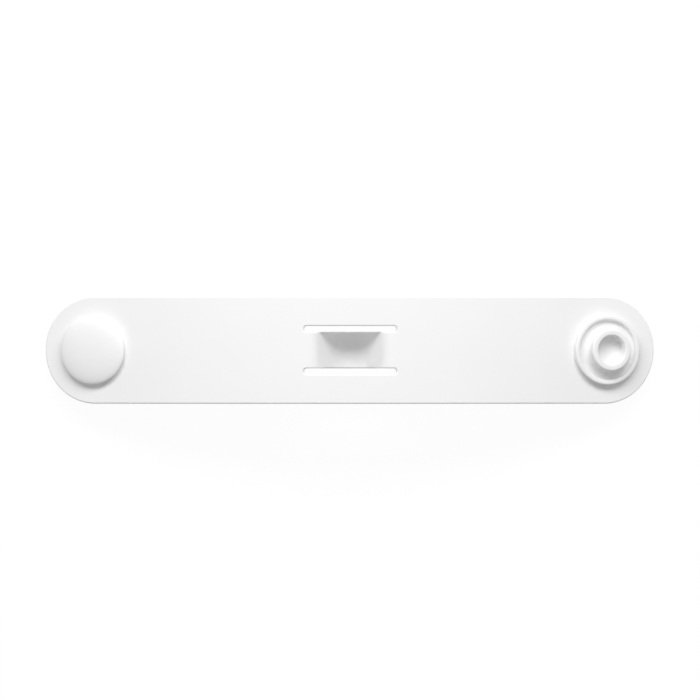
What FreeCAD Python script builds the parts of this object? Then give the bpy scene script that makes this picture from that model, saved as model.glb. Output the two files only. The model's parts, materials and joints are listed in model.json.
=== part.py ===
import FreeCAD, Part

import math
import os

import Sketcher
from FreeCAD import Placement, Rotation, Vector

# A snap strap that holds a lead. A soft strip, bowed like a low bridge, has two slots in its middle,
# and the band between them hangs down so that a lead passes over the band and under the two outer
# strips. A rigid snap is riveted through each end: a domed cap over a socket at -X, and a stud over a
# domed cap at +X.
#
# Each body is drawn with its origin on the strap's front face. The strap's own origin is the top of
# the bow, with +X along the strap. A snap's origin is where its axis leaves the front face, with +Z
# along that axis, so the back of the strap lies at -strap_thickness for every body.

# Driving sizes in millimetres, or in degrees where the note says so
SIZES = {
    "strap_length": 100.8,  # along the front face, tip to tip
    "strap_width": 17,
    "strap_thickness": 1.5,
    "strap_chamfer": 0.3,  # along the front's edges
    "end_slope": 23,  # degrees, the fall of the flat ends that the snaps sit on
    "seat_length": 6.0,  # flat strap from a snap's axis towards the middle
    "slot_length": 14.8,
    "slot_width": 0.9,
    "band_width": 5.8,
    "shoulder_round": 2.2,  # the band's front face where it leaves the strap
    "belly_round": 3.4,  # the band's front face under the lead
    "lead_diameter": 4.6,
    "lead_play": 0.2,
    "post_diameter": 2.0,
    "hole_play": 0.1,  # between a post and the hole round it, on the radius
    "cap_diameter": 10.85,
    "cap_edge": 1.45,  # height of the cap's wall, with its rounding
    "cap_crown": 0.4,  # rise of the cap's top above that wall
    "cap_round": 1.4,
    "stud_overhang": 0.075,  # by how much the stud is larger than the cap, on the radius
    "stud_rim_width": 0.68,
    "stud_rim_chamfer": 0.2,
    "stud_rim_height": 1.2,
    "stud_floor": 0.7,
    "stud_flare": 0.6,  # chamfer between the floor and the neck
    "neck_undercut": 0.26,  # by how much the neck is thinner than the head, on the radius
    "neck_top": 1.7,
    "head_shoulder": 1.9,
    "head_height": 2.75,
    "head_wall": 0.96,
    "head_lead": 0.28,  # chamfer round the head's end
    "dish_gap": 0.04,  # between the closed post and the stud's hollow
    "dish_edge": 0.65,  # thickness of the closed post at the hollow's wall
    "dish_middle": 0.25,
    "socket_diameter": 10.2,
    "socket_floor": 0.8,
    "socket_rim_wall": 0.7,
    "socket_rim_height": 2.1,
    "groove_width": 0.39,  # between the socket's rim and its collar
    "collar_height": 2.7,
    "collar_wall": 0.55,
    "cavity_play": 0.15,  # between the stud's head and the cavity, on the radius
    "lip_grip": 0.06,  # by how much the lip is smaller than the stud's head, on the radius
    "lip_length": 0.7,
    "lip_lead": 0.15,  # chamfer at the mouth
    "slit_width": 0.4,
    "socket_chamfer": 0.2,
    "rivet_diameter": 3.6,
    "rivet_height": 0.6,
}

# Sizes that follow from the driving ones, as formulas of the sheet
DERIVED = {
    "end_length": "strap_width / 2 + seat_length",
    "bow_radius": "(strap_length / 2 - end_length) / (end_slope * pi / 180)",
    "snap_run": "bow_radius * sin(end_slope) + seat_length * cos(end_slope)",
    "snap_drop": "bow_radius * (1 - cos(end_slope)) + seat_length * sin(end_slope)",
    "strap_edge": "min(strap_chamfer; 0.45 * strap_thickness)",
    "band_end": "(slot_length - slot_width) / 2",
    "band_depth": "strap_thickness + lead_diameter + lead_play",
    "shoulder_turn": "asin(band_end / bow_radius)",
    "shoulder_run": "band_end - shoulder_round * sin(shoulder_turn)",
    "shoulder_up": "(bow_radius - shoulder_round) * cos(shoulder_turn) - bow_radius",
    "belly_bend": "min(belly_round; 0.9 * band_end - shoulder_round)",
    "belly_up": "belly_bend - band_depth",
    "shoulder_reach": "sqrt(shoulder_run ^ 2 + (shoulder_up - belly_up) ^ 2)",
    "flank_turn": "atan2(shoulder_up - belly_up; shoulder_run)"
    " + asin((shoulder_round + belly_bend) / shoulder_reach)",
    "hole_radius": "post_diameter / 2 + hole_play",
    "cap_bend": "min(cap_round; 0.95 * cap_edge)",
    "crown_radius": "(cap_diameter ^ 2 / 4 + cap_crown ^ 2) / (2 * cap_crown)",
    "crown_up": "cap_edge + cap_crown - crown_radius",
    "wall_up": "crown_up + sqrt((crown_radius - cap_bend) ^ 2 - (cap_diameter / 2 - cap_bend) ^ 2)",
    "crown_share": "crown_radius / (crown_radius - cap_bend)",
    "groove_radius": "socket_diameter / 2 - socket_rim_wall",
    "collar_radius": "groove_radius - groove_width",
    "cavity_radius": "collar_radius - collar_wall",
    "head_radius": "cavity_radius - cavity_play",
    "lip_radius": "head_radius - lip_grip",
    "socket_edge": "min(socket_chamfer; 0.4 * collar_wall; 0.4 * socket_rim_wall)",
    "stud_radius": "cap_diameter / 2 + stud_overhang",
    "rim_inside": "stud_radius - stud_rim_width",
    "rim_edge": "min(stud_rim_chamfer; 0.4 * stud_rim_width)",
    "neck_radius": "head_radius - neck_undercut",
    "neck_foot": "min(stud_flare; 0.8 * (rim_inside - neck_radius); 0.8 * (neck_top - stud_floor))",
    "head_entry": "min(head_lead; 0.4 * head_wall; 0.8 * (head_height - head_shoulder))",
    "hollow_radius": "head_radius - head_wall",
    "dish_radius": "((hollow_radius - dish_gap) ^ 2 + (dish_edge - dish_middle) ^ 2)"
    " / (2 * (dish_edge - dish_middle))",
}

doc = FreeCAD.newDocument("snap_strap")
sheet = doc.addObject("Spreadsheet::Sheet", "sizes")


def fill_sheet():
    """One row for each size: its name, its value, and an alias for the value."""
    cells = [(name, str(number)) for name, number in SIZES.items()]
    cells += [(name, "=" + formula) for name, formula in DERIVED.items()]
    for row, (name, content) in enumerate(cells, start=1):
        sheet.set(f"A{row}", name)
        sheet.set(f"B{row}", content)
        sheet.setAlias(f"B{row}", name)
    doc.recompute()


def bound(formula):
    """A formula of the sheet's names as an expression that other objects can use."""
    words = []
    word = ""
    for letter in formula + " ":
        if letter.isalnum() or letter == "_":
            word += letter
            continue
        words.append("sizes." + word if word in SIZES or word in DERIVED else word)
        words.append(letter)
        word = ""
    return "".join(words).strip()


def size(formula):
    """The value of a formula of the sheet's names, in millimetres or degrees."""
    found = sheet.evalExpression(bound(formula))
    return float(getattr(found, "Value", found))


def origin_plane(body, role):
    return next(plane for plane in body.Origin.OriginFeatures if plane.Role == role)


def new_body(label):
    body = doc.addObject("PartDesign::Body", label)
    body.Label = label
    return body


def new_sketch(body, name, role):
    sketch = body.newObject("Sketcher::SketchObject", name)
    sketch.AttachmentSupport = [(origin_plane(body, role), "")]
    sketch.MapMode = "FlatFace"
    return sketch


def lean_to_snap(sketch):
    """Move a sketch of the strap to the snap's axis at +X, square to the flat end."""
    sketch.AttachmentOffset = Placement(Vector(), Rotation(Vector(0, 1, 0), 1))
    sketch.setExpression("AttachmentOffset.Base.x", "sizes.snap_run")
    sketch.setExpression("AttachmentOffset.Base.z", "-sizes.snap_drop")
    sketch.setExpression("AttachmentOffset.Rotation.Angle", "sizes.end_slope")


def constrain(sketch, kind, *place, formula=None):
    """Add one constraint. One with a formula is a size, bound to the sheet."""
    if formula is None:
        sketch.addConstraint(Sketcher.Constraint(kind, *place))
        return
    index = sketch.addConstraint(Sketcher.Constraint(kind, *place, size(formula)))
    sketch.setExpression(f"Constraints[{index}]", bound(formula))


def arc(start, end, radius, turn):
    """The short arc from start to end: turn 1 is anticlockwise, and -1 is clockwise."""
    chord = end - start
    middle = (start + end) / 2
    rise = math.sqrt(max(radius**2 - (chord.Length / 2) ** 2, 0))
    centre = middle + Vector(-chord.y, chord.x, 0) / chord.Length * rise * turn
    first, last = (start, end) if turn > 0 else (end, start)
    angles = [math.atan2(point.y - centre.y, point.x - centre.x) for point in (first, last)]
    circle = Part.Circle(centre, Vector(0, 0, 1), radius)
    return Part.ArcOfCircle(circle, angles[0], angles[1])


def trace(sketch, corners):
    """Draw a closed outline through corners, each (across, up) as formulas.

    A corner may add (radius, turn), and the edge that leaves it is then an arc.
    """
    origin, across_axis, up_axis = -1, -1, -2
    points = [Vector(size(corner[0]), size(corner[1]), 0) for corner in corners]
    ends = []
    for index, corner in enumerate(corners):
        start, end = points[index], points[(index + 1) % len(points)]
        if len(corner) == 2:
            sketch.addGeometry(Part.LineSegment(start, end), False)
            ends.append((1, 2))
            continue
        radius, turn = corner[2:]
        sketch.addGeometry(arc(start, end, size(radius), turn), False)
        ends.append((1, 2) if turn > 0 else (2, 1))
        constrain(sketch, "Radius", index, formula=radius)
    for index, corner in enumerate(corners):
        after = (index + 1) % len(corners)
        constrain(sketch, "Coincident", index, ends[index][1], after, ends[after][0])
        across = ("DistanceX", corner[0], up_axis)
        up = ("DistanceY", corner[1], across_axis)
        for kind, formula, axis in (across, up):
            if formula == "0":
                constrain(sketch, "PointOnObject", index, ends[index][0], axis)
            else:
                constrain(sketch, kind, origin, 1, index, ends[index][0], formula=formula)


def pad(body, sketch, name, width):
    """Extrude a sketch by a width that is shared evenly between its two sides."""
    feature = body.newObject("PartDesign::Pad", name)
    feature.Profile = sketch
    feature.SideType = "Symmetric"
    feature.setExpression("Length", bound(width))
    return feature


def cut_through(body, sketch, name):
    feature = body.newObject("PartDesign::Pocket", name)
    feature.Profile = sketch
    feature.SideType = "Symmetric"
    feature.Type = "ThroughAll"
    return feature


def revolve(body, name, corners):
    """A solid of revolution about the body's Z axis, from a half section."""
    sketch = new_sketch(body, name + "_section", "XZ_Plane")
    trace(sketch, corners)
    feature = body.newObject("PartDesign::Revolution", name)
    feature.Profile = sketch
    feature.ReferenceAxis = (sketch, ["V_Axis"])
    feature.Angle = 360
    doc.recompute()
    return feature


def bevel_edges(body, name, edges, width):
    """Chamfer the named edges of the body's last feature at 45 degrees."""
    base = body.Tip
    feature = body.newObject("PartDesign::Chamfer", name)
    feature.Base = (base, edges)
    feature.setExpression("Size", bound(width))
    doc.recompute()


def ring(body, radius, height):
    """The names of the circular edges about the body's axis, at a radius and a height."""
    near = 1e-4
    names = []
    for index, edge in enumerate(body.Tip.Shape.Edges, start=1):
        if edge.Degenerated or not isinstance(edge.Curve, Part.Circle):
            continue
        curve = edge.Curve
        on_axis = math.hypot(curve.Center.x, curve.Center.y) < near
        if on_axis and abs(curve.Radius - size(radius)) < near and abs(curve.Center.z - size(height)) < near:
            names.append(f"Edge{index}")
    return names


def front_edges(shape):
    """The names of the edges where the strap's side wall meets its front face."""
    half_width = size("strap_width / 2")
    bow_radius = size("bow_radius")
    near = 1e-4

    def is_wall(face):
        surface = face.Surface
        if isinstance(surface, Part.Cylinder):
            return abs(surface.Radius - half_width) < near and abs(surface.Axis.y) < near
        return isinstance(surface, Part.Plane) and abs(abs(face.CenterOfMass.y) - half_width) < near

    def is_front(face):
        surface = face.Surface
        if isinstance(surface, Part.Cylinder):
            return abs(surface.Radius - bow_radius) < near
        seat = Vector(math.copysign(size("snap_run"), face.CenterOfMass.x), 0, -size("snap_drop"))
        return isinstance(surface, Part.Plane) and abs((seat - surface.Position).dot(surface.Axis)) < near

    walls = [edge for face in shape.Faces if is_wall(face) for edge in face.Edges]
    fronts = [edge for face in shape.Faces if is_front(face) for edge in face.Edges]
    names = []
    for index, edge in enumerate(shape.Edges, start=1):
        if all(any(edge.isSame(other) for other in side) for side in (walls, fronts)):
            names.append(f"Edge{index}")
    return names


def make_strap():
    """The soft strip: half of it is drawn at +X, and its mirror image completes it."""
    body = new_body("strap")

    side = new_sketch(body, "side_view", "XZ_Plane")
    trace(side, [
        ("0", "0", "bow_radius", -1),
        ("bow_radius * sin(end_slope)", "bow_radius * (cos(end_slope) - 1)"),
        (
            "snap_run + strap_width / 2 * cos(end_slope)",
            "-snap_drop - strap_width / 2 * sin(end_slope)",
        ),
        (
            "snap_run + strap_width / 2 * cos(end_slope) - strap_thickness * sin(end_slope)",
            "-snap_drop - strap_width / 2 * sin(end_slope) - strap_thickness * cos(end_slope)",
        ),
        (
            "(bow_radius - strap_thickness) * sin(end_slope)",
            "(bow_radius - strap_thickness) * cos(end_slope) - bow_radius",
            "bow_radius - strap_thickness", 1,
        ),
        ("0", "-strap_thickness"),
    ])
    pad(body, side, "strip", "strap_width")

    # What lies outside the round end, which is concentric with the snap
    corners = new_sketch(body, "end_corners", "XY_Plane")
    lean_to_snap(corners)
    trace(corners, [
        ("0", "-strap_width / 2", "strap_width / 2", 1),
        ("strap_width / 2", "0", "strap_width / 2", 1),
        ("0", "strap_width / 2"),
        ("0", "strap_width"),
        ("strap_width", "strap_width"),
        ("strap_width", "-strap_width"),
        ("0", "-strap_width"),
    ])
    cut_through(body, corners, "round_end")

    post_hole = new_sketch(body, "post_circle", "XY_Plane")
    lean_to_snap(post_hole)
    post_hole.addGeometry(Part.Circle(Vector(), Vector(0, 0, 1), size("hole_radius")), False)
    constrain(post_hole, "Coincident", 0, 3, -1, 1)
    constrain(post_hole, "Radius", 0, formula="hole_radius")
    cut_through(body, post_hole, "post_hole")

    # The two slots and the place of the band between them
    window = new_sketch(body, "window_outline", "XY_Plane")
    trace(window, [
        ("0", "-band_width / 2 - slot_width"),
        ("band_end", "-band_width / 2 - slot_width", "slot_width / 2", 1),
        ("slot_length / 2", "-band_width / 2 - slot_width / 2", "slot_width / 2", 1),
        ("band_end", "-band_width / 2"),
        ("band_end", "band_width / 2", "slot_width / 2", 1),
        ("slot_length / 2", "band_width / 2 + slot_width / 2", "slot_width / 2", 1),
        ("band_end", "band_width / 2 + slot_width"),
        ("0", "band_width / 2 + slot_width"),
    ])
    cut_through(body, window, "window")

    # The band leaves the strap in line with it, turns down over the shoulder and runs round under the lead
    band = new_sketch(body, "band_section", "XZ_Plane")
    trace(band, [
        ("0", "-band_depth", "belly_bend", 1),
        (
            "belly_bend * sin(flank_turn)",
            "belly_up - belly_bend * cos(flank_turn)",
        ),
        (
            "shoulder_run - shoulder_round * sin(flank_turn)",
            "shoulder_up + shoulder_round * cos(flank_turn)",
            "shoulder_round", -1,
        ),
        ("band_end", "sqrt(bow_radius ^ 2 - band_end ^ 2) - bow_radius"),
        (
            "band_end", "sqrt((bow_radius - strap_thickness) ^ 2 - band_end ^ 2) - bow_radius",
            "bow_radius - strap_thickness", 1,
        ),
        (
            "(bow_radius - strap_thickness) * sin(shoulder_turn)",
            "(bow_radius - strap_thickness) * cos(shoulder_turn) - bow_radius",
            "shoulder_round - strap_thickness", 1,
        ),
        (
            "shoulder_run - (shoulder_round - strap_thickness) * sin(flank_turn)",
            "shoulder_up + (shoulder_round - strap_thickness) * cos(flank_turn)",
        ),
        (
            "(belly_bend + strap_thickness) * sin(flank_turn)",
            "belly_up - (belly_bend + strap_thickness) * cos(flank_turn)",
            "belly_bend + strap_thickness", -1,
        ),
        ("0", "-band_depth - strap_thickness"),
    ])
    pad(body, band, "band", "band_width")
    doc.recompute()

    whole = body.newObject("PartDesign::Mirrored", "both_halves")
    whole.TransformMode = "Whole shape"
    whole.MirrorPlane = (origin_plane(body, "YZ_Plane"), [""])
    body.Tip = whole
    doc.recompute()

    bevel_edges(body, "front_edge", front_edges(body.Tip.Shape), "strap_edge")
    return body


def cap_section(foot, way):
    """A domed cap's half section, from the middle of its top to its foot: way + points up and - down."""
    turn = -1 if way == "+" else 1
    return [
        ("0", f"{foot} {way} (cap_edge + cap_crown)", "crown_radius", turn),
        (
            "(cap_diameter / 2 - cap_bend) * crown_share",
            f"{foot} {way} (crown_up + (wall_up - crown_up) * crown_share)",
            "cap_bend", turn,
        ),
        ("cap_diameter / 2", f"{foot} {way} wall_up"),
        ("cap_diameter / 2", foot),
    ]


def make_front_cap():
    """The domed cap over the strap at -X. Its post is riveted over inside the socket."""
    body = new_body("front_cap")
    seat = "-strap_thickness - socket_floor"
    revolve(body, "button", cap_section("0", "+") + [
        ("post_diameter / 2", "0"),
        ("post_diameter / 2", seat),
        ("rivet_diameter / 2", seat),
        ("rivet_diameter / 2", seat + " - rivet_height"),
        ("0", seat + " - rivet_height"),
    ])
    return body


def make_socket():
    """The snap socket behind the front cap: a slit collar with an inner lip, inside a plain rim."""
    body = new_body("socket")
    floor = "-strap_thickness - socket_floor"
    rim_end = "-strap_thickness - socket_rim_height"
    mouth = "-strap_thickness - collar_height"
    lip_start = mouth + " + lip_length"
    revolve(body, "disc", [
        ("hole_radius", "-strap_thickness"),
        ("socket_diameter / 2", "-strap_thickness"),
        ("socket_diameter / 2", rim_end),
        ("groove_radius", rim_end),
        ("groove_radius", floor),
        ("collar_radius", floor),
        ("collar_radius", mouth),
        ("lip_radius", mouth),
        ("lip_radius", lip_start),
        ("cavity_radius", lip_start + " + cavity_play + lip_grip"),
        ("cavity_radius", floor),
        ("hole_radius", floor),
    ])
    bevel_edges(body, "lip_entry", ring(body, "lip_radius", mouth), "lip_lead")
    outer = ring(body, "socket_diameter / 2", rim_end) + ring(body, "collar_radius", mouth)
    bevel_edges(body, "outer_edges", outer, "socket_edge")

    # One slot right across the collar, from its mouth to the floor, is turned into two
    slit = new_sketch(body, "slit_outline", "XY_Plane")
    slit.setExpression("AttachmentOffset.Base.z", bound(floor))
    reach = "(groove_radius + collar_radius) / 2"
    trace(slit, [
        ("-" + reach, "-slit_width / 2"),
        (reach, "-slit_width / 2"),
        (reach, "slit_width / 2"),
        ("-" + reach, "slit_width / 2"),
    ])
    cut = body.newObject("PartDesign::Pocket", "slit")
    cut.Profile = slit
    cut.setExpression("Length", bound("collar_height - socket_floor"))
    doc.recompute()

    slits = body.newObject("PartDesign::PolarPattern", "slits")
    slits.Originals = [cut]
    slits.Axis = (slit, ["N_Axis"])
    slits.Angle = 180
    slits.Occurrences = 2
    body.Tip = slits
    doc.recompute()
    return body


def make_stud():
    """The snap stud on the front at +X: a rimmed disc whose floor flares up to a hollow, undercut head."""
    body = new_body("stud")
    revolve(body, "disc", [
        ("hole_radius", "0"),
        ("stud_radius", "0"),
        ("stud_radius", "stud_rim_height"),
        ("rim_inside", "stud_rim_height"),
        ("rim_inside", "stud_floor"),
        ("neck_radius", "stud_floor"),
        ("neck_radius", "neck_top"),
        ("head_radius", "head_shoulder"),
        ("head_radius", "head_height"),
        ("hollow_radius", "head_height"),
        ("hollow_radius", "stud_floor"),
        ("hole_radius", "stud_floor"),
    ])
    bevel_edges(body, "neck_flare", ring(body, "neck_radius", "stud_floor"), "neck_foot")
    bevel_edges(body, "head_end", ring(body, "head_radius", "head_height"), "head_entry")
    rim = ring(body, "stud_radius", "stud_rim_height") + ring(body, "rim_inside", "stud_rim_height")
    bevel_edges(body, "rim_edges", rim, "rim_edge")
    return body


def make_back_cap():
    """The domed cap behind the stud. Its post is closed into a smooth dish that fills the stud's hollow."""
    body = new_body("back_cap")
    revolve(body, "button", cap_section("-strap_thickness", "-") + [
        ("post_diameter / 2", "-strap_thickness"),
        ("post_diameter / 2", "stud_floor"),
        ("hollow_radius - dish_gap", "stud_floor"),
        ("hollow_radius - dish_gap", "stud_floor + dish_edge", "dish_radius", -1),
        ("0", "stud_floor + dish_middle"),
    ])
    return body


def lowest(shapes):
    """The lowest point of some shapes, from a fine mesh of them."""
    fineness = 0.01
    points = [point for shape in shapes for point in shape.tessellate(fineness)[0]]
    return min(points, key=lambda point: point.z)


def stand(bodies):
    """Place the snaps on the strap and stand the whole on its two ends, centred over the origin."""
    slope = size("end_slope")
    at_left = Placement(Vector(-size("snap_run"), 0, -size("snap_drop")), Rotation(Vector(0, 1, 0), -slope))
    at_right = Placement(Vector(size("snap_run"), 0, -size("snap_drop")), Rotation(Vector(0, 1, 0), slope))
    own = {
        "strap": Placement(),
        "front_cap": at_left,
        "socket": at_left,
        "stud": at_right,
        "back_cap": at_right,
    }

    def placed(label, whole):
        return bodies[label].Tip.Shape.transformed(whole.multiply(own[label]).Matrix)

    level = Placement()
    left_foot = lowest([placed("socket", level)])
    half = Part.makeBox(size("strap_length"), size("strap_width"), size("strap_length"))
    half.translate(Vector(0, -size("strap_width / 2"), -size("strap_length")))
    right_foot = lowest([placed("strap", level).common(half), placed("back_cap", level)])
    lean = math.degrees(math.atan2(right_foot.z - left_foot.z, right_foot.x - left_foot.x))
    leaning = Placement(Vector(), Rotation(Vector(0, 1, 0), lean))

    box = FreeCAD.BoundBox()
    for label in bodies:
        box.add(placed(label, leaning).optimalBoundingBox(False))
    middle = Vector((box.XMin + box.XMax) / 2, (box.YMin + box.YMax) / 2, box.ZMin)
    whole = Placement(middle * -1, Rotation(Vector(0, 1, 0), lean))
    for label, body in bodies.items():
        body.Placement = whole.multiply(own[label])
    doc.recompute()
    print("leans by", round(lean, 3), "degrees")


def check(bodies):
    """Stop before anything is written if an object failed or a body isn't one valid solid."""
    for thing in doc.Objects:
        if {"Invalid", "Error"} & set(thing.State):
            raise RuntimeError(f"{thing.Name} failed: {thing.State}")
    for label, body in bodies.items():
        if body.Shape.isNull() or not body.Shape.isValid() or len(body.Shape.Solids) != 1:
            raise RuntimeError(f"{label} is not one valid solid")


fill_sheet()
bodies = {
    "strap": make_strap(),
    "front_cap": make_front_cap(),
    "socket": make_socket(),
    "stud": make_stud(),
    "back_cap": make_back_cap(),
}
check(bodies)
stand(bodies)
check(bodies)
os.makedirs("parts", exist_ok=True)
for label, body in bodies.items():
    body.Shape.exportStep(f"parts/{label}.step")
    extent = body.Shape.optimalBoundingBox(False)
    heights = (round(extent.ZMin, 3), round(extent.ZMax, 3))
    print(label, "volume", round(body.Shape.Volume, 2), "heights", heights)
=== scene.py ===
import json
import math

import bpy
from mathutils import Matrix, Vector


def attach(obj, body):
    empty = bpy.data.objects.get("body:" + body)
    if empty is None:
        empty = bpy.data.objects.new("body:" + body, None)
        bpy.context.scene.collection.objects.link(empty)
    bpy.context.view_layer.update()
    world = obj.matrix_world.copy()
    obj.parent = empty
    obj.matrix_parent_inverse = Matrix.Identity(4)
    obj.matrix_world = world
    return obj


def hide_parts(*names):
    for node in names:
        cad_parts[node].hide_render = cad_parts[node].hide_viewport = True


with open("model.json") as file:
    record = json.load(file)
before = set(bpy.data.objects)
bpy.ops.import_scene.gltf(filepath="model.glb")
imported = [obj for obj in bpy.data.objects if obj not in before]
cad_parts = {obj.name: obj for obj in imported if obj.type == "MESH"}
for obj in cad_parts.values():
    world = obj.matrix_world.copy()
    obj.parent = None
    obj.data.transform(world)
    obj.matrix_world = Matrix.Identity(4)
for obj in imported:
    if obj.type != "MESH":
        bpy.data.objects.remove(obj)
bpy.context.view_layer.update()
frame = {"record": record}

# A snap strap, bowed like a low bridge, with a band that hangs down between two slots in its middle.
# A snap is riveted through each end: a domed cap over a socket at -X, and a stud over a domed cap at +X.

# Lengths are in metres, and angles in radians
MM = 0.001

# How far off a vertex may lie from the place it was drawn at, and how close two are that become one
TINY = 1e-7
NEAR = 1e-6

# The strap, as it lies flat
STRAP_LENGTH = 100.8 * MM
STRAP_WIDTH = 17 * MM
STRAP_THICKNESS = 1.5 * MM
SEAT_LENGTH = 6.0 * MM
SLOT_LENGTH = 14.8 * MM
SLOT_WIDTH = 0.9 * MM
BAND_WIDTH = 5.8 * MM
FRONT_ROUND = 0.25 * MM
BACK_ROUND = 0.1 * MM

# The band's sag
BAND_DEPTH = 6.3 * MM
SHOULDER_ROUND = 2.2 * MM
BELLY_ROUND = 3.4 * MM

# The caps and their posts, with heights above the strap's front face, or behind its back face
CAP_RADIUS = 5.425 * MM
CAP_HEIGHT = 1.85 * MM
CAP_WIDEST = 0.85 * MM
POST_RADIUS = 1.0 * MM
POST_HOLE_RADIUS = 1.1 * MM
RIVET_RADIUS = 1.8 * MM
RIVET_HEIGHT = 0.6 * MM
RIVET_ROUND = 0.3 * MM
DISH_EDGE = 0.8 * MM
DISH_MIDDLE = 0.6 * MM
DISH_PLAY = 0.005 * MM

# The stud, with heights above the strap's front face
STUD_RADIUS = 5.5 * MM
STUD_FOOT_ROUND = 0.75 * MM
RIM_WIDTH = 0.68 * MM
RIM_HEIGHT = 1.2 * MM
RIM_OUTER_ROUND = 0.22 * MM
RIM_INNER_ROUND = 0.2 * MM
GROOVE_FLOOR = 0.5 * MM
GROOVE_ROUND = 0.4 * MM
NECK_RADIUS = 3.05 * MM
NECK_TOP = 1.7 * MM
NECK_FLARE = 0.9 * MM
HEAD_RADIUS = 3.31 * MM
HEAD_SHOULDER = 1.9 * MM
HEAD_SHOULDER_ROUND = 0.1 * MM
HEAD_HEIGHT = 2.75 * MM
HEAD_ENTRY = 0.28 * MM
HOLLOW_RADIUS = 2.35 * MM
HOLLOW_FLOOR = 0.45 * MM
HOLLOW_ROUND = 0.2 * MM

# The socket, with heights behind the strap's back face
SOCKET_RADIUS = 5.1 * MM
SOCKET_SEAT_ROUND = 0.15 * MM
SOCKET_FLOOR = 0.8 * MM
SOCKET_RIM_WALL = 0.7 * MM
SOCKET_RIM_HEIGHT = 2.1 * MM
SOCKET_RIM_OUTER_ROUND = 0.25 * MM
SOCKET_RIM_INNER_ROUND = 0.2 * MM
COLLAR_RADIUS = 4.01 * MM
COLLAR_HEIGHT = 2.7 * MM
COLLAR_ROUND = 0.22 * MM
CAVITY_RADIUS = 3.46 * MM
LIP_RADIUS = 3.25 * MM
LIP_LENGTH = 0.7 * MM
LIP_ENTRY = 0.15 * MM
SLIT_WIDTH = 0.4 * MM
SLIT_END_GAP = 0.02 * MM

# How finely round forms are drawn: the faces along each
TURN_STEPS = 144
HOLE_SIDES = 64
TIP_STEPS = 40
SLOT_END_STEPS = 14
FRONT_ROUND_STEPS = 5
BACK_ROUND_STEPS = 2
BAND_COLUMNS = 46
BOW_COLUMNS = 34
PATH_STEPS = 96
DOME_STEPS = 24
TUCK_STEPS = 10
DISH_STEPS = 10

# An edge between two faces that turn by less than this looks smooth
SMOOTH_BELOW = math.radians(35)

# The view: straight down from far off, with the photograph's scale and the object's middle in its pixels
PICTURE_PIXELS = 700
PIXEL = 0.1587 * MM
OBJECT_MIDDLE = (349.65, 350.06)
CAMERA_HEIGHT = 4.0
CLIP_END = 3 * CAMERA_HEIGHT
SENSOR_MM = 36.0

# The light and the floor: a white surround, and a wide lamp beyond the picture's upper edge
WORLD_LIGHT = 0.36
KEY_POWER = 1.72
KEY_DIRECTION = (-0.01, 0.65, 0.76)
KEY_DISTANCE = 0.4
KEY_SIZE = (0.5, 0.14)
FLOOR_SIZE = 6

# Where the snaps stand, from the frame's two mounts on their axes
STUD_MOUNT_HEIGHT = (HEAD_SHOULDER + HEAD_HEIGHT - HEAD_ENTRY) / 2
SOCKET_MOUNT_DEPTH = STRAP_THICKNESS + COLLAR_HEIGHT - (LIP_LENGTH + LIP_ENTRY) / 2
mounts = {mount["name"]: mount for mount in frame["record"]["mounts"]}
right_up = Vector(mounts["stud_head"]["axis"]).normalized()
left_up = -Vector(mounts["socket_mouth"]["axis"]).normalized()
right_seat = Vector(mounts["stud_head"]["pos_m"]) - right_up * STUD_MOUNT_HEIGHT
left_seat = Vector(mounts["socket_mouth"]["pos_m"]) + left_up * SOCKET_MOUNT_DEPTH
right_tilt = math.atan2(right_up.x, right_up.z)
left_tilt = -math.atan2(left_up.x, left_up.z)
END_SLOPE = (right_tilt + left_tilt) / 2
LEAN = (right_tilt - left_tilt) / 2

# The bow and the band that follow from those sizes, seen from the side
HALF_WIDTH = STRAP_WIDTH / 2
END_LENGTH = HALF_WIDTH + SEAT_LENGTH
BOW_LENGTH = STRAP_LENGTH - 2 * END_LENGTH
BOW_RADIUS = BOW_LENGTH / (2 * END_SLOPE)
SNAP_RUN = BOW_RADIUS * math.sin(END_SLOPE) + SEAT_LENGTH * math.cos(END_SLOPE)
SNAP_DROP = BOW_RADIUS * (1 - math.cos(END_SLOPE)) + SEAT_LENGTH * math.sin(END_SLOPE)
SLOT_NEAR = BAND_WIDTH / 2
SLOT_FAR = SLOT_NEAR + SLOT_WIDTH
BAND_END = (SLOT_LENGTH - SLOT_WIDTH) / 2
SHOULDER_TURN = math.asin(BAND_END / BOW_RADIUS)
SHOULDER_RUN = BAND_END - SHOULDER_ROUND * math.sin(SHOULDER_TURN)
SHOULDER_DROP = BOW_RADIUS - (BOW_RADIUS - SHOULDER_ROUND) * math.cos(SHOULDER_TURN)
BELLY_RISE = BAND_DEPTH - BELLY_ROUND - SHOULDER_DROP
SHOULDER_REACH = math.hypot(SHOULDER_RUN, BELLY_RISE)
BOTH_ROUNDS = SHOULDER_ROUND + BELLY_ROUND
FLANK_TURN = math.atan2(BELLY_RISE, SHOULDER_RUN) + math.asin(BOTH_ROUNDS / SHOULDER_REACH)
FLANK_LENGTH = math.sqrt(SHOULDER_REACH**2 - BOTH_ROUNDS**2)

# The strap's own frame, with its origin on top of the bow
strap_place = (
    Matrix.Translation(right_seat)
    @ Matrix.Rotation(LEAN, 4, "Y")
    @ Matrix.Translation(Vector((-SNAP_RUN, 0, SNAP_DROP)))
)

# The snaps' own frames, each with its origin on the strap's front face and +Z along the snap's axis
right_place = Matrix.Translation(right_seat) @ Matrix.Rotation(right_tilt, 4, "Y")
left_place = Matrix.Translation(left_seat) @ Matrix.Rotation(-left_tilt, 4, "Y")


def select_only(piece):
    """Select one object and make it the active one."""
    bpy.ops.object.select_all(action="DESELECT")
    bpy.context.view_layer.objects.active = piece
    piece.select_set(True)


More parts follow.
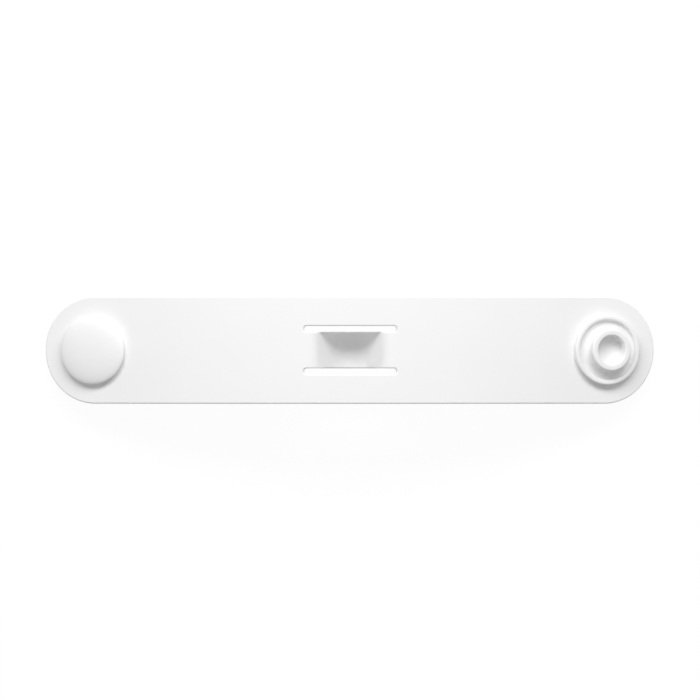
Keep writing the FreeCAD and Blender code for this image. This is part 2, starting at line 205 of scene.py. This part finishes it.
def start_line(name, point):
    """A new mesh with one selected vertex at a point, in edit mode."""
    bpy.ops.object.select_all(action="DESELECT")
    bpy.ops.mesh.primitive_plane_add(size=MM, location=(0, 0, 0))
    piece = bpy.context.object
    piece.name = name
    piece.data.name = name
    bpy.ops.object.mode_set(mode="EDIT")
    bpy.ops.mesh.select_mode(type="VERT")
    bpy.ops.mesh.select_all(action="SELECT")
    bpy.ops.mesh.merge(type="CENTER")
    bpy.ops.transform.translate(value=point)
    return piece


def pick(piece, kind, wanted):
    """Select the vertices or edges whose corner points pass a test."""
    bpy.ops.mesh.select_mode(type=kind)
    bpy.ops.mesh.select_all(action="DESELECT")
    bpy.ops.object.mode_set(mode="OBJECT")
    mesh = piece.data
    places = [vertex.co for vertex in mesh.vertices]
    if kind == "VERT":
        for vertex in mesh.vertices:
            vertex.select = wanted([vertex.co])
    else:
        for edge in mesh.edges:
            edge.select = wanted([places[index] for index in edge.vertices])
    bpy.ops.object.mode_set(mode="EDIT")


def draw_to(piece, *points):
    """Draw straight edges on from the selected vertex to each point."""
    for point in points:
        piece.update_from_editmode()
        here = next(vertex.co.copy() for vertex in piece.data.vertices if vertex.select)
        step = Vector(point) - here
        bpy.ops.mesh.extrude_vertices_move(TRANSFORM_OT_translate={"value": step})


def draw_arc(centre, turn, steps, axis):
    """Draw an arc on from the selected vertex, turning about an axis through a centre."""
    # The spin tool turns clockwise for a positive angle
    bpy.ops.mesh.spin(steps=steps, angle=-turn, center=centre, axis=axis)


def join_doubles():
    """Select all that is drawn, and join the vertices that lie on one another."""
    bpy.ops.mesh.select_all(action="SELECT")
    bpy.ops.mesh.remove_doubles(threshold=NEAR)


def face_outwards():
    """Turn all faces of a closed form outwards."""
    bpy.ops.mesh.select_all(action="SELECT")
    bpy.ops.mesh.normals_make_consistent(inside=False)


def bisect_at(plane_point, plane_normal, clear=False):
    """Cut all faces at a plane, and clear what lies behind it if asked to."""
    bpy.ops.mesh.select_all(action="SELECT")
    bpy.ops.mesh.bisect(plane_co=plane_point, plane_no=plane_normal, clear_inner=clear)


def apply_modifiers(piece):
    """Apply all of a piece's modifiers, in their order."""
    select_only(piece)
    for modifier in list(piece.modifiers):
        bpy.ops.object.modifier_apply(modifier=modifier.name)


def cut_away(piece, cutters):
    """Cut the shapes of the cutters out of a piece, and remove the cutters."""
    for cutter in cutters:
        cut = piece.modifiers.new("cut", "BOOLEAN")
        cut.operation = "DIFFERENCE"
        cut.solver = "EXACT"
        cut.object = cutter
    bpy.context.view_layer.update()
    apply_modifiers(piece)
    for cutter in cutters:
        bpy.data.objects.remove(cutter)


def settle(piece, place):
    """Put a finished mesh in its place, with its object at the origin, and smooth its shading."""
    if bpy.context.mode != "OBJECT":
        bpy.ops.object.mode_set(mode="OBJECT")
    piece.matrix_world = place
    select_only(piece)
    bpy.ops.object.transform_apply(location=True, rotation=True, scale=True)
    bpy.ops.object.shade_smooth_by_angle(angle=SMOOTH_BELOW)
    weighted = piece.modifiers.new("even_normals", "WEIGHTED_NORMAL")
    weighted.keep_sharp = True
    weighted.weight = 100
    apply_modifiers(piece)


def draw_quarter():
    """A quarter of the flat strap, as a solid with rounded edges that ends at both middle lines."""
    overlap = MM
    tip = STRAP_LENGTH / 2
    end_middle = tip - HALF_WIDTH
    up = (0, 0, 1)
    strap = start_line("strap_moulding", (tip, -overlap, 0))
    draw_to(strap, (tip, 0, 0))
    draw_arc((end_middle, 0, 0), math.pi / 2, TIP_STEPS, up)
    draw_to(strap, (-overlap, HALF_WIDTH, 0), (-overlap, SLOT_FAR, 0), (BAND_END, SLOT_FAR, 0))
    draw_arc((BAND_END, (SLOT_NEAR + SLOT_FAR) / 2, 0), -math.pi, SLOT_END_STEPS, up)
    draw_to(strap, (-overlap, SLOT_NEAR, 0), (-overlap, -overlap, 0), (tip, -overlap, 0))
    join_doubles()
    bpy.ops.mesh.edge_face_add()
    bpy.ops.mesh.extrude_region_move(TRANSFORM_OT_translate={"value": (0, 0, -STRAP_THICKNESS)})
    face_outwards()

    def on_rim(corners, height):
        """Whether an edge lies at a height and isn't one of those that the middle lines cut off."""
        level = all(abs(corner.z - height) < TINY for corner in corners)
        cut_off = any(all(corner[side] < -overlap + TINY for corner in corners) for side in (0, 1))
        return level and not cut_off

    front = (0, FRONT_ROUND, FRONT_ROUND_STEPS)
    back = (-STRAP_THICKNESS, BACK_ROUND, BACK_ROUND_STEPS)
    for height, cut, steps in (front, back):
        pick(strap, "EDGE", lambda corners: on_rim(corners, height))
        bpy.ops.mesh.bevel(offset=cut, offset_type="OFFSET", segments=steps, affect="EDGES", profile=0.5)

    # The rounding moves the tip's middle a little, so both cut edges are pressed flat after the cut
    near_cut = 0.01 * MM
    for normal, flat in (((1, 0, 0), (0, 1, 1)), ((0, 1, 0), (1, 0, 1))):
        bisect_at((0, 0, 0), normal, clear=True)
        pick(strap, "VERT", lambda corners: abs(corners[0].dot(Vector(normal))) < near_cut)
        bpy.ops.transform.resize(value=flat, center_override=(0, 0, 0))
    return strap


def add_columns():
    """Cut the quarter into narrow columns of faces where it will bend."""
    band_step = BAND_END / BAND_COLUMNS
    bow_step = (BOW_LENGTH / 2 - BAND_END) / BOW_COLUMNS
    stations = [band_step * index for index in range(1, BAND_COLUMNS + 1)]
    stations += [BAND_END + bow_step * index for index in range(1, BOW_COLUMNS + 1)]
    for station in stations:
        bisect_at((station, 0, 0), (1, 0, 0))
    bpy.ops.object.mode_set(mode="OBJECT")


def mirror_twice(piece):
    """Complete a piece from the quarter of it that lies at +X and +Y."""
    mirror = piece.modifiers.new("halves", "MIRROR")
    mirror.use_axis = (True, True, False)
    mirror.merge_threshold = NEAR
    apply_modifiers(piece)


def bent_path(name, start, heading, moves):
    """A curve in the XZ plane: each move is a length, and how far it turns to the right on the way."""
    curve = bpy.data.curves.new(name, "CURVE")
    curve.dimensions = "3D"
    curve.twist_mode = "Z_UP"
    curve.use_stretch = True
    curve.use_deform_bounds = True
    spline = curve.splines.new("BEZIER")
    spline.resolution_u = PATH_STEPS
    spline.bezier_points.add(len(moves))
    point = Vector(start)
    for index, (length, turn) in enumerate(moves):
        along = Vector((math.cos(heading), 0, math.sin(heading)))
        heading -= turn
        onward = Vector((math.cos(heading), 0, math.sin(heading)))
        # Handles of this reach keep an arc round
        reach = length / 3 if turn == 0 else 4 / 3 * math.tan(abs(turn) / 4) * length / abs(turn)
        chord = length if turn == 0 else 2 * length / turn * math.sin(turn / 2)
        after = point + (along + onward).normalized() * chord
        here, there = spline.bezier_points[index], spline.bezier_points[index + 1]
        here.co = point
        here.handle_right = point + along * reach
        there.co = after
        there.handle_left = after - onward * reach
        if index == 0:
            here.handle_left = point - along * reach
        there.handle_right = after + onward * reach
        point = after
    path = bpy.data.objects.new(name, curve)
    bpy.context.scene.collection.objects.link(path)
    return path


def bow_path():
    """The front face's line from tip to tip, seen from the side: straight ends and a round bow."""
    end_run = SNAP_RUN + HALF_WIDTH * math.cos(END_SLOPE)
    end_drop = SNAP_DROP + HALF_WIDTH * math.sin(END_SLOPE)
    straight_end = (END_LENGTH, 0)
    bow = (BOW_LENGTH, 2 * END_SLOPE)
    return bent_path("bow_path", (-end_run, 0, -end_drop), END_SLOPE, (straight_end, bow, straight_end))


def band_path():
    """The hanging band's line: over a shoulder, down a flank, round the belly and up again."""
    start = (-BAND_END, 0, math.sqrt(BOW_RADIUS**2 - BAND_END**2) - BOW_RADIUS)
    over = FLANK_TURN + SHOULDER_TURN
    shoulder = (SHOULDER_ROUND * over, over)
    flank = (FLANK_LENGTH, 0)
    half_belly = (BELLY_ROUND * FLANK_TURN, -FLANK_TURN)
    moves = (shoulder, flank, half_belly, half_belly, flank, shoulder)
    return bent_path("band_path", start, SHOULDER_TURN, moves)


def bend_strap(strap):
    """Bend the flat strap into its bow, and the band between its slots into its sag."""
    in_band = [
        vertex.index
        for vertex in strap.data.vertices
        if abs(vertex.co.x) < BAND_END + NEAR and abs(vertex.co.y) < SLOT_NEAR + NEAR
    ]
    elsewhere = sorted(set(range(len(strap.data.vertices))) - set(in_band))
    paths = (bow_path(), band_path())
    for path, group, members in zip(paths, ("strips", "band"), (elsewhere, in_band)):
        strap.vertex_groups.new(name=group).add(members, 1.0, "REPLACE")
        bend = strap.modifiers.new(path.name, "CURVE")
        bend.object = path
        bend.deform_axis = "POS_X"
        bend.vertex_group = group
    apply_modifiers(strap)
    for path in paths:
        bpy.data.objects.remove(path)
    strap.vertex_groups.clear()


def post_hole(place):
    """A cutter for the hole that a post goes through, at a snap's place in the strap's own frame."""
    bpy.ops.object.select_all(action="DESELECT")
    bpy.ops.mesh.primitive_cylinder_add(
        vertices=HOLE_SIDES,
        radius=POST_HOLE_RADIUS,
        depth=4 * STRAP_THICKNESS,
    )
    cutter = bpy.context.object
    # Half a side's turn keeps its corners off the strap's middle line
    half_side = Matrix.Rotation(math.pi / HOLE_SIDES, 4, "Z")
    cutter.matrix_world = strap_place.inverted() @ place @ half_side
    return cutter


def model_strap():
    """The strap: one soft moulding with round ends, two slots, a hanging band and two post holes."""
    strap = draw_quarter()
    add_columns()
    mirror_twice(strap)
    bend_strap(strap)
    cut_away(strap, [post_hole(left_place), post_hole(right_place)])
    settle(strap, strap_place)
    return strap


def closed_section(name, outline):
    """A closed half section in the XZ plane, from the radius and height of each of its corners."""
    points = [(radius, 0, height) for radius, height in outline]
    section = start_line(name, points[0])
    draw_to(section, *points[1:], points[0])
    join_doubles()
    return section


def round_corners(section, corners):
    """Round corners of a half section: each is a radius, a height, how far it is cut back, and steps."""
    for radius, height, cut, steps in corners:
        point = Vector((radius, 0, height))
        pick(section, "VERT", lambda places: (places[0] - point).length < TINY)
        bpy.ops.mesh.bevel(offset=cut, offset_type="OFFSET", segments=steps, affect="VERTICES", profile=0.5)


def turn_about_axis(section):
    """Turn a half section, in the XZ plane, into a closed solid about the Z axis."""
    bpy.ops.mesh.select_mode(type="VERT")
    bpy.ops.mesh.select_all(action="SELECT")
    bpy.ops.mesh.spin(steps=TURN_STEPS, angle=2 * math.pi, center=(0, 0, 0), axis=(0, 0, 1))
    join_doubles()
    face_outwards()


def cap_line(name, way, foot):
    """A domed cap's line, from the middle of its top to its foot, for way 1 up or -1 down."""
    across = (0, 1, 0)
    squeeze = way * (CAP_HEIGHT - CAP_WIDEST) / CAP_RADIUS
    widest = Vector((CAP_RADIUS, 0, foot + way * CAP_WIDEST))
    cap = start_line(name, (0, 0, CAP_RADIUS))
    draw_arc((0, 0, 0), math.pi / 2, DOME_STEPS, across)
    bpy.ops.mesh.select_all(action="SELECT")
    bpy.ops.transform.resize(value=(1, 1, squeeze), center_override=(0, 0, 0))
    bpy.ops.transform.translate(value=(0, 0, widest.z))
    pick(cap, "VERT", lambda places: (places[0] - widest).length < TINY)
    draw_arc(widest - Vector((CAP_WIDEST, 0, 0)), way * math.pi / 2, TUCK_STEPS, across)
    return cap


def model_front_cap():
    """The smooth button over the strap at -X, with its post riveted over in the socket."""
    seat = -STRAP_THICKNESS - SOCKET_FLOOR
    rivet_end = seat - RIVET_HEIGHT
    cap = cap_line("front_cap_moulding", 1, 0)
    draw_to(cap, (POST_RADIUS, 0, 0), (POST_RADIUS, 0, seat), (RIVET_RADIUS, 0, seat))
    draw_to(cap, (RIVET_RADIUS, 0, rivet_end), (0, 0, rivet_end))
    round_corners(cap, [(RIVET_RADIUS, rivet_end, RIVET_ROUND, 5)])
    turn_about_axis(cap)
    settle(cap, left_place)
    return cap


def model_back_cap():
    """The button behind the stud, whose post is closed into the smooth dish in the stud's hollow."""
    back = -STRAP_THICKNESS
    edge_radius = HOLLOW_RADIUS - DISH_PLAY
    dish_depth = DISH_EDGE - DISH_MIDDLE
    dish_radius = (edge_radius**2 + dish_depth**2) / (2 * dish_depth)
    dish_turn = math.asin(edge_radius / dish_radius)
    cap = cap_line("back_cap_moulding", -1, back)
    draw_to(cap, (POST_RADIUS, 0, back), (POST_RADIUS, 0, HOLLOW_FLOOR))
    draw_to(cap, (edge_radius, 0, HOLLOW_FLOOR), (edge_radius, 0, DISH_EDGE))
    draw_arc((0, 0, DISH_MIDDLE + dish_radius), dish_turn, DISH_STEPS, (0, 1, 0))
    turn_about_axis(cap)
    settle(cap, right_place)
    return cap


def model_stud():
    """The stud: a rimmed disc whose floor flares up to a hollow head."""
    rim_inside = STUD_RADIUS - RIM_WIDTH
    stud = closed_section("stud_moulding", (
        (POST_HOLE_RADIUS, 0),
        (STUD_RADIUS, 0),
        (STUD_RADIUS, RIM_HEIGHT),
        (rim_inside, RIM_HEIGHT),
        (rim_inside, GROOVE_FLOOR),
        (NECK_RADIUS, GROOVE_FLOOR),
        (NECK_RADIUS, NECK_TOP),
        (HEAD_RADIUS, HEAD_SHOULDER),
        (HEAD_RADIUS, HEAD_HEIGHT),
        (HOLLOW_RADIUS, HEAD_HEIGHT),
        (HOLLOW_RADIUS, HOLLOW_FLOOR),
        (POST_HOLE_RADIUS, HOLLOW_FLOOR),
    ))
    round_corners(stud, (
        (STUD_RADIUS, 0, STUD_FOOT_ROUND, 8),
        (STUD_RADIUS, RIM_HEIGHT, RIM_OUTER_ROUND, 6),
        (rim_inside, RIM_HEIGHT, RIM_INNER_ROUND, 6),
        (rim_inside, GROOVE_FLOOR, GROOVE_ROUND, 6),
        (NECK_RADIUS, GROOVE_FLOOR, NECK_FLARE, 10),
        (HEAD_RADIUS, HEAD_SHOULDER, HEAD_SHOULDER_ROUND, 3),
        (HEAD_RADIUS, HEAD_HEIGHT, HEAD_ENTRY, 6),
        (HOLLOW_RADIUS, HEAD_HEIGHT, HOLLOW_ROUND, 6),
    ))
    turn_about_axis(stud)
    settle(stud, right_place)
    return stud


def slit_cutters(floor, reach):
    """Two bars across each other, which slit the collar in four."""
    height = COLLAR_HEIGHT - SOCKET_FLOOR + MM
    # They end just clear of the floor, so that no cut lies in its face
    slit_end = floor - SLIT_END_GAP
    cutters = []
    for turn in (0, math.pi / 2):
        bpy.ops.object.select_all(action="DESELECT")
        middle = (0, 0, slit_end - height / 2)
        bpy.ops.mesh.primitive_cube_add(size=1, location=middle, rotation=(0, 0, turn))
        cutter = bpy.context.object
        cutter.scale = (reach, SLIT_WIDTH, height)
        cutters.append(cutter)
    return cutters


def model_socket():
    """The socket: a plain rim round a collar with an inner lip, and two slits across the collar."""
    back = -STRAP_THICKNESS
    floor = back - SOCKET_FLOOR
    rim_end = back - SOCKET_RIM_HEIGHT
    rim_inside = SOCKET_RADIUS - SOCKET_RIM_WALL
    mouth = back - COLLAR_HEIGHT
    lip_start = mouth + LIP_LENGTH
    cavity_start = lip_start + CAVITY_RADIUS - LIP_RADIUS
    socket = closed_section("socket_moulding", (
        (POST_HOLE_RADIUS, back),
        (SOCKET_RADIUS, back),
        (SOCKET_RADIUS, rim_end),
        (rim_inside, rim_end),
        (rim_inside, floor),
        (COLLAR_RADIUS, floor),
        (COLLAR_RADIUS, mouth),
        (LIP_RADIUS, mouth),
        (LIP_RADIUS, lip_start),
        (CAVITY_RADIUS, cavity_start),
        (CAVITY_RADIUS, floor),
        (POST_HOLE_RADIUS, floor),
    ))
    round_corners(socket, (
        (SOCKET_RADIUS, back, SOCKET_SEAT_ROUND, 4),
        (SOCKET_RADIUS, rim_end, SOCKET_RIM_OUTER_ROUND, 5),
        (rim_inside, rim_end, SOCKET_RIM_INNER_ROUND, 4),
        (COLLAR_RADIUS, mouth, COLLAR_ROUND, 5),
        (LIP_RADIUS, mouth, LIP_ENTRY, 4),
    ))
    turn_about_axis(socket)
    bpy.ops.object.mode_set(mode="OBJECT")
    cut_away(socket, slit_cutters(floor, rim_inside + COLLAR_RADIUS))
    settle(socket, left_place)
    return socket


class Shade:
    """A node's output socket that takes part in arithmetic, adding a Math node for each step."""

    def __init__(self, material, socket):
        self.material = material
        self.socket = socket

    def combine(self, operation, first, second):
        return node(self.material, "ShaderNodeMath", {"operation": operation}, {0: first, 1: second})

    def __add__(self, other):
        return self.combine("ADD", self, other)

    def __radd__(self, other):
        return self.combine("ADD", other, self)

    def __mul__(self, other):
        return self.combine("MULTIPLY", self, other)

    def __rmul__(self, other):
        return self.combine("MULTIPLY", other, self)


def node(material, kind, settings=None, values=None, output=0):
    """Add a node: its settings first, then the values or links of its sockets. Returns one output."""
    tree = material.node_tree
    made = tree.nodes.new(kind)
    for key, value in (settings or {}).items():
        setattr(made, key, value)
    for key, value in (values or {}).items():
        if isinstance(value, Shade):
            tree.links.new(value.socket, made.inputs[key])
        else:
            made.inputs[key].default_value = value
    return Shade(material, made.outputs[output]) if made.outputs else None


def new_material(name):
    """A material with no nodes yet."""
    material = bpy.data.materials.new(name)
    material.use_nodes = True
    material.node_tree.nodes.clear()
    return material


def surface(material, values):
    """Finish a material with a Principled surface."""
    shader = node(material, "ShaderNodeBsdfPrincipled", None, values)
    node(material, "ShaderNodeOutputMaterial", None, {"Surface": shader})
    return material


def noise(material, grain, detail):
    """Noise in the piece's own place, whose lumps are about a grain across, from 0 to 1."""
    place = node(material, "ShaderNodeTexCoord", None, None, "Object")
    values = {"Vector": place, "Scale": 1 / grain, "Detail": detail, "Roughness": 0.5}
    return node(material, "ShaderNodeTexNoise", None, values, "Fac")


def drifting_white(material, drift, low, high):
    """White that drifts between two tones, as a value goes from 0 to 1."""
    return node(material, "ShaderNodeMix", {"data_type": "RGBA"}, {
        "Factor": drift,
        "A": (low, low, low, 1),
        "B": (high, high, high, 1),
    }, "Result")


def bump(material, height, strength, distance):
    """A surface that rises by up to a distance, as a value goes from 0 to 1."""
    values = {"Strength": strength, "Distance": distance, "Height": height}
    return node(material, "ShaderNodeBump", None, values)


def silicone():
    """Matte white silicone: a fine even grain, and slow faint changes of tone and gloss."""
    material = new_material("white_silicone")
    grain = noise(material, 0.09 * MM, 3.0)
    drift = noise(material, 9 * MM, 1.0)
    return surface(material, {
        "Base Color": drifting_white(material, drift, 0.88, 0.9),
        "Roughness": 0.56 + 0.1 * grain + 0.04 * drift,
        "IOR": 1.41,
        "Specular IOR Level": 0.4,
        "Normal": bump(material, grain, 0.35, 0.012 * MM),
    })


def snap_plastic():
    """Satin white moulded plastic: nearly smooth, with a slight waviness."""
    material = new_material("white_snap_plastic")
    wave = noise(material, 1.4 * MM, 1.0)
    grain = noise(material, 0.12 * MM, 2.0)
    return surface(material, {
        "Base Color": drifting_white(material, wave, 0.87, 0.89),
        "Roughness": 0.4 + 0.05 * grain + 0.03 * wave,
        "IOR": 1.49,
        "Specular IOR Level": 0.5,
        "Normal": bump(material, 0.7 * wave + 0.3 * grain, 0.25, 0.01 * MM),
    })


def seen_directly(material):
    """1 for what the camera sees, straight or in a glossy or clear surface, and 0 for other light."""
    direct = node(material, "ShaderNodeLightPath", None, None, "Is Camera Ray")
    glossy = node(material, "ShaderNodeLightPath", None, None, "Is Glossy Ray")
    clear = node(material, "ShaderNodeLightPath", None, None, "Is Transmission Ray")
    return direct + glossy + clear


def floor_material():
    """A pale floor that shows white, with a faint trace of the object's shadow."""
    material = new_material("pale_floor")
    plain = node(material, "ShaderNodeBsdfDiffuse", None, {"Color": (0.8, 0.8, 0.8, 1)})
    faint = node(material, "ShaderNodeBsdfDiffuse", None, {"Color": (0.06, 0.06, 0.06, 1)})
    glow = node(material, "ShaderNodeEmission", None, {"Color": (1, 1, 1, 1), "Strength": 0.95})
    white = node(material, "ShaderNodeAddShader", None, {0: faint, 1: glow})
    shown = node(material, "ShaderNodeMixShader", None, {0: seen_directly(material), 1: plain, 2: white})
    node(material, "ShaderNodeOutputMaterial", None, {"Surface": shown})
    return material


def lay_floor():
    """The floor that the object stands on, which is no part of it."""
    bpy.ops.object.select_all(action="DESELECT")
    bpy.ops.mesh.primitive_plane_add(size=FLOOR_SIZE, location=(0, 0, 0))
    floor = bpy.context.object
    floor.name = "floor"
    floor.data.materials.append(floor_material())


def light_world():
    """An even white surround, brighter where the camera sees it."""
    world = bpy.data.worlds.new("white_surround")
    world.use_nodes = True
    world.node_tree.nodes.clear()
    strength = WORLD_LIGHT + (1.0 - WORLD_LIGHT) * seen_directly(world)
    background = node(world, "ShaderNodeBackground", None, {"Color": (1, 1, 1, 1), "Strength": strength})
    node(world, "ShaderNodeOutputWorld", None, {"Surface": background})
    bpy.context.scene.world = world


def hang_lamp():
    """A flat, wide lamp that shines at the object, and that the camera doesn't see."""
    lamp = bpy.data.lights.new("key_lamp", "AREA")
    lamp.shape = "RECTANGLE"
    lamp.size, lamp.size_y = KEY_SIZE
    lamp.energy = KEY_POWER
    holder = bpy.data.objects.new("key_lamp", lamp)
    away = Vector(KEY_DIRECTION).normalized()
    holder.location = away * KEY_DISTANCE
    holder.rotation_euler = away.to_track_quat("Z", "Y").to_euler()
    holder.visible_camera = False
    bpy.context.scene.collection.objects.link(holder)


def set_camera():
    """The camera, straight above, with the object's middle where the photograph has it."""
    camera = bpy.data.cameras.new("camera")
    camera.sensor_width = SENSOR_MM
    camera.lens = SENSOR_MM * CAMERA_HEIGHT / (PICTURE_PIXELS * PIXEL)
    camera.clip_end = CLIP_END
    holder = bpy.data.objects.new("camera", camera)
    middle = PICTURE_PIXELS / 2
    across = (middle - OBJECT_MIDDLE[0]) * PIXEL
    up = (OBJECT_MIDDLE[1] - middle) * PIXEL
    holder.location = (across, up, CAMERA_HEIGHT)
    bpy.context.scene.collection.objects.link(holder)
    bpy.context.scene.camera = holder


silicone_white = silicone()
snap_white = snap_plastic()
pieces = (
    (model_strap(), "strap", "strap_silicone", silicone_white),
    (model_front_cap(), "front_cap", "snap_plastic", snap_white),
    (model_socket(), "socket", "snap_plastic", snap_white),
    (model_stud(), "stud", "snap_plastic", snap_white),
    (model_back_cap(), "back_cap", "snap_plastic", snap_white),
)
for piece, cad_node, slot, material in pieces:
    piece.data.materials.append(material)
    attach(piece, "root")
    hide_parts(cad_node)

lay_floor()
light_world()
hang_lamp()
set_camera()
bpy.context.scene.view_settings.view_transform = "Standard"
